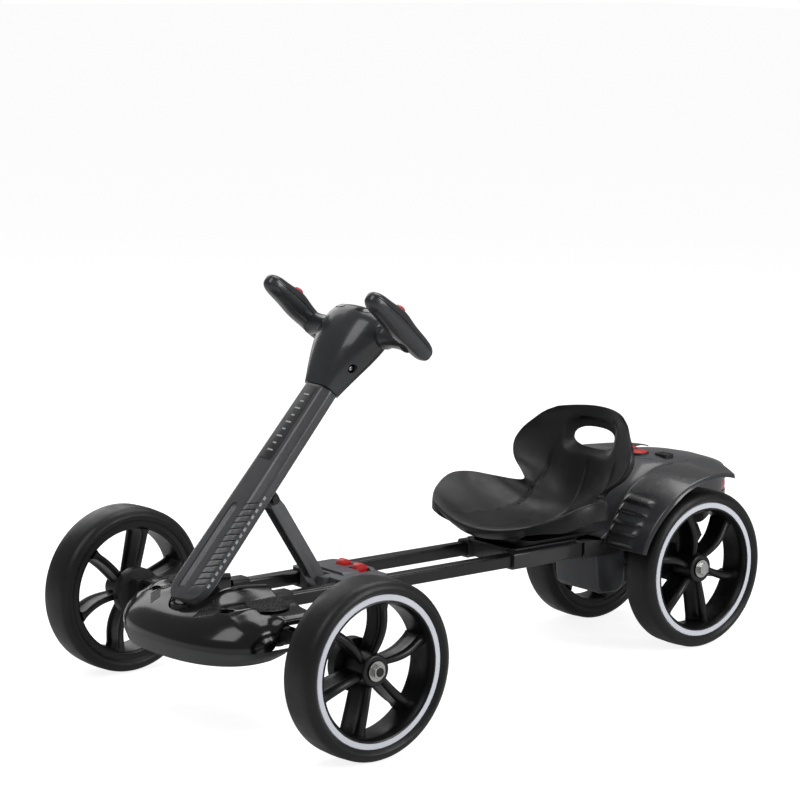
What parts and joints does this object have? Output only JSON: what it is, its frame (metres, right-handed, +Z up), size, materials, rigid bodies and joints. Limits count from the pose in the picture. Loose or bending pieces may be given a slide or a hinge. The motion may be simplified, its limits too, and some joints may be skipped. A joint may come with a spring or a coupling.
{
  "type": "folding ride-on kart",
  "caption": "Child's battery ride-on kart on two rails with a folding steering column, swing-in front wheels, bucket seat and driven rear wheels.",
  "frame": {"origin": "on the floor, under the middle of the kart's length and width", "axes": "+Z up, the front faces -Y, the driver's left is +X"},
  "size_m": [0.5936, 1.012, 0.5594],
  "materials": {
    "rail_black": "satin black powder coat",
    "frame_black": "satin black paint",
    "gloss_black": "piano black moulding",
    "lip_grey": "dark grey moulding",
    "footrest_black": "ribbed matte moulding",
    "collar_black": "black moulding",
    "zinc_steel": "zinc plated",
    "seat_black": "fine-grained blow moulding",
    "bracket_grey": "dark grey moulding",
    "cover_grey": "dark grey gloss moulding",
    "lid_grey": "dark grey gloss moulding",
    "reflector_red": "translucent red moulding",
    "box_grey": "satin dark grey moulding",
    "battery_black": "battery case",
    "gearmotor_black": "black moulding",
    "socket_black": "black moulding",
    "bright_steel": "bright steel",
    "bolt_black": "black oxide",
    "stem_grey": "dark grey gloss moulding",
    "grip_grey": "dark grey satin moulding",
    "button_red": "red moulding",
    "strut_grey": "grey paint",
    "slider_grey": "mid grey satin moulding",
    "arm_black": "satin black paint",
    "knuckle_black": "black glass-filled moulding",
    "rod_black": "black zinc",
    "tyre_black": "matte foam rubber",
    "rim_black": "black satin moulding"
  },
  "bodies": {
    "chassis": {"rails": "rail_black", "front_crossmember": "frame_black", "front_fairing": "gloss_black", "front_lip": "lip_grey", "footrest_pads": "footrest_black", "rail_collars": "collar_black", "pivot_pins": "zinc_steel", "seat": "seat_black", "seat_bracket": "bracket_grey", "rear_frame": "frame_black", "rear_shell": "cover_grey", "left_fender": "cover_grey", "right_fender": "cover_grey", "deck_lid": "lid_grey", "tail_reflector": "reflector_red", "control_box": "box_grey", "battery": "battery_black", "left_gearmotor": "gearmotor_black", "right_gearmotor": "gearmotor_black", "charge_socket": "socket_black", "rear_axle": "bright_steel", "rear_hub_nuts": "bright_steel"},
    "column": {"column_cover_front": "cover_grey", "column_cover_rear": "cover_grey", "column_tube": "frame_black", "strut_pivot_bolt": "bolt_black"},
    "handlebar": {"head_shell_front": "cover_grey", "head_shell_rear": "cover_grey", "steering_shaft": "bright_steel", "handlebar_tube": "stem_grey", "left_grip": "grip_grey", "right_grip": "grip_grey"},
    "left_thumb": {"left_thumb_button": "button_red"},
    "right_thumb": {"right_thumb_button": "button_red"},
    "strut": {"strut": "strut_grey"},
    "slider": {"slider_block": "slider_grey"},
    "left_latch": {"left_latch": "button_red"},
    "right_latch": {"right_latch": "button_red"},
    "left_arm": {"left_arm": "arm_black"},
    "right_arm": {"right_arm": "arm_black"},
    "left_kingpin": {"left_kingpin": "zinc_steel"},
    "right_kingpin": {"right_kingpin": "zinc_steel"},
    "left_knuckle": {"left_knuckle": "knuckle_black", "left_hub_nut": "bright_steel"},
    "right_knuckle": {"right_knuckle": "knuckle_black", "right_hub_nut": "bright_steel"},
    "left_tie_rod": {"left_tie_rod": "rod_black"},
    "right_tie_rod": {"right_tie_rod": "rod_black"},
    "relay_rod": {"relay_rod": "rod_black"},
    "pitman": {"pitman_arm": "rod_black"},
    "front_left_wheel": {"front_left_tyre": "tyre_black", "front_left_rim": "rim_black"},
    "front_right_wheel": {"front_right_tyre": "tyre_black", "front_right_rim": "rim_black"},
    "rear_left_wheel": {"rear_left_tyre": "tyre_black", "rear_left_rim": "rim_black"},
    "rear_right_wheel": {"rear_right_tyre": "tyre_black", "rear_right_rim": "rim_black"},
    "power_button": {"power_button": "button_red"},
    "mode_button": {"mode_button": "button_red"}
  },
  "joints": [
    {"name": "column_fold", "type": "hinge", "parent": "chassis", "child": "column", "pos_m": [0, -0.411, 0.155], "axis": [-1, 0, 0], "range_deg": [0, 44]},
    {"name": "strut_pivot", "type": "hinge", "parent": "column", "child": "strut", "pos_m": [0, -0.328, 0.28], "axis": [1, 0, 0], "range_deg": [0, 88]},
    {"name": "slider_pivot", "type": "hinge", "parent": "strut", "child": "slider", "pos_m": [0, -0.245, 0.155], "axis": [-1, 0, 0], "range_deg": [0, 44]},
    {"name": "left_latch_slide", "type": "slide", "parent": "slider", "child": "left_latch", "axis": [-1, 0, 0], "range_m": [0, 0.005], "stiffness_N_per_m": 400, "springref_m": -0.002},
    {"name": "right_latch_slide", "type": "slide", "parent": "slider", "child": "right_latch", "axis": [1, 0, 0], "range_m": [0, 0.005], "stiffness_N_per_m": 400, "springref_m": -0.002},
    {"name": "handlebar_turn", "type": "hinge", "parent": "column", "child": "handlebar", "pos_m": [0, -0.24144, 0.41558], "axis": [0, 0.6587, 0.7524], "range_deg": [-28, 28]},
    {"name": "left_thumb_press", "type": "slide", "parent": "handlebar", "child": "left_thumb", "axis": [0, -0.6587, -0.7524], "range_m": [0, 0.0025], "stiffness_N_per_m": 400, "springref_m": -0.001},
    {"name": "right_thumb_press", "type": "slide", "parent": "handlebar", "child": "right_thumb", "axis": [0, -0.6587, -0.7524], "range_m": [0, 0.0025], "stiffness_N_per_m": 400, "springref_m": -0.001},
    {"name": "pitman_turn", "type": "hinge", "parent": "chassis", "child": "pitman", "pos_m": [0, -0.4654, 0.115], "axis": [0, 0, 1], "range_deg": [-21, 21]},
    {"name": "relay_slide", "type": "slide", "parent": "chassis", "child": "relay_rod", "axis": [1, 0, 0], "range_m": [-0.0129, 0.0129]},
    {"name": "left_arm_fold", "type": "hinge", "parent": "chassis", "child": "left_arm", "pos_m": [0.072, -0.366, 0.121], "axis": [0, 0, 1], "range_deg": [0, 90]},
    {"name": "left_kingpin_turn", "type": "hinge", "parent": "left_arm", "child": "left_kingpin", "pos_m": [0.2, -0.366, 0.118], "axis": [0, 0, 1], "range_deg": [-90, 0]},
    {"name": "left_knuckle_steer", "type": "hinge", "parent": "left_kingpin", "child": "left_knuckle", "pos_m": [0.2, -0.366, 0.118], "axis": [0, 0, 1], "range_deg": [-21, 21]},
    {"name": "left_tie_rod_turn", "type": "hinge", "parent": "relay_rod", "child": "left_tie_rod", "pos_m": [0.072, -0.331, 0.094], "axis": [0, 0, 1], "range_deg": [0, 90]},
    {"name": "front_left_wheel_spin", "type": "hinge", "parent": "left_knuckle", "child": "front_left_wheel", "pos_m": [0.268, -0.374, 0.115], "axis": [1, 0, 0], "continuous": true},
    {"name": "right_arm_fold", "type": "hinge", "parent": "chassis", "child": "right_arm", "pos_m": [-0.072, -0.366, 0.121], "axis": [0, 0, 1], "range_deg": [-90, 0]},
    {"name": "right_kingpin_turn", "type": "hinge", "parent": "right_arm", "child": "right_kingpin", "pos_m": [-0.2, -0.366, 0.118], "axis": [0, 0, 1], "range_deg": [0, 90]},
    {"name": "right_knuckle_steer", "type": "hinge", "parent": "right_kingpin", "child": "right_knuckle", "pos_m": [-0.2, -0.366, 0.118], "axis": [0, 0, 1], "range_deg": [-21, 21]},
    {"name": "right_tie_rod_turn", "type": "hinge", "parent": "relay_rod", "child": "right_tie_rod", "pos_m": [-0.072, -0.331, 0.094], "axis": [0, 0, 1], "range_deg": [-90, 0]},
    {"name": "front_right_wheel_spin", "type": "hinge", "parent": "right_knuckle", "child": "front_right_wheel", "pos_m": [-0.268, -0.374, 0.115], "axis": [1, 0, 0], "continuous": true},
    {"name": "rear_left_wheel_spin", "type": "hinge", "parent": "chassis", "child": "rear_left_wheel", "pos_m": [0.108, 0.359, 0.115], "axis": [1, 0, 0], "continuous": true},
    {"name": "rear_right_wheel_spin", "type": "hinge", "parent": "chassis", "child": "rear_right_wheel", "pos_m": [-0.108, 0.359, 0.115], "axis": [1, 0, 0], "continuous": true},
    {"name": "power_button_press", "type": "slide", "parent": "chassis", "child": "power_button", "axis": [0, 0, -1], "range_m": [0, 0.003], "stiffness_N_per_m": 500, "springref_m": -0.001},
    {"name": "mode_button_press", "type": "slide", "parent": "chassis", "child": "mode_button", "axis": [0, 0, -1], "range_m": [0, 0.0025], "stiffness_N_per_m": 500, "springref_m": -0.001}
  ],
  "couplings": [
    {"joint": "strut_pivot", "follows": "column_fold", "ratio": 2},
    {"joint": "slider_pivot", "follows": "column_fold", "ratio": 1},
    {"joint": "pitman_turn", "follows": "handlebar_turn", "ratio": 0.75},
    {"joint": "relay_slide", "follows": "handlebar_turn", "m_per_rad": -0.02625},
    {"joint": "left_knuckle_steer", "follows": "handlebar_turn", "ratio": 0.75},
    {"joint": "left_kingpin_turn", "follows": "left_arm_fold", "ratio": -1},
    {"joint": "left_tie_rod_turn", "follows": "left_arm_fold", "ratio": 1},
    {"joint": "right_knuckle_steer", "follows": "handlebar_turn", "ratio": 0.75},
    {"joint": "right_kingpin_turn", "follows": "right_arm_fold", "ratio": -1},
    {"joint": "right_tie_rod_turn", "follows": "right_arm_fold", "ratio": 1}
  ]
}
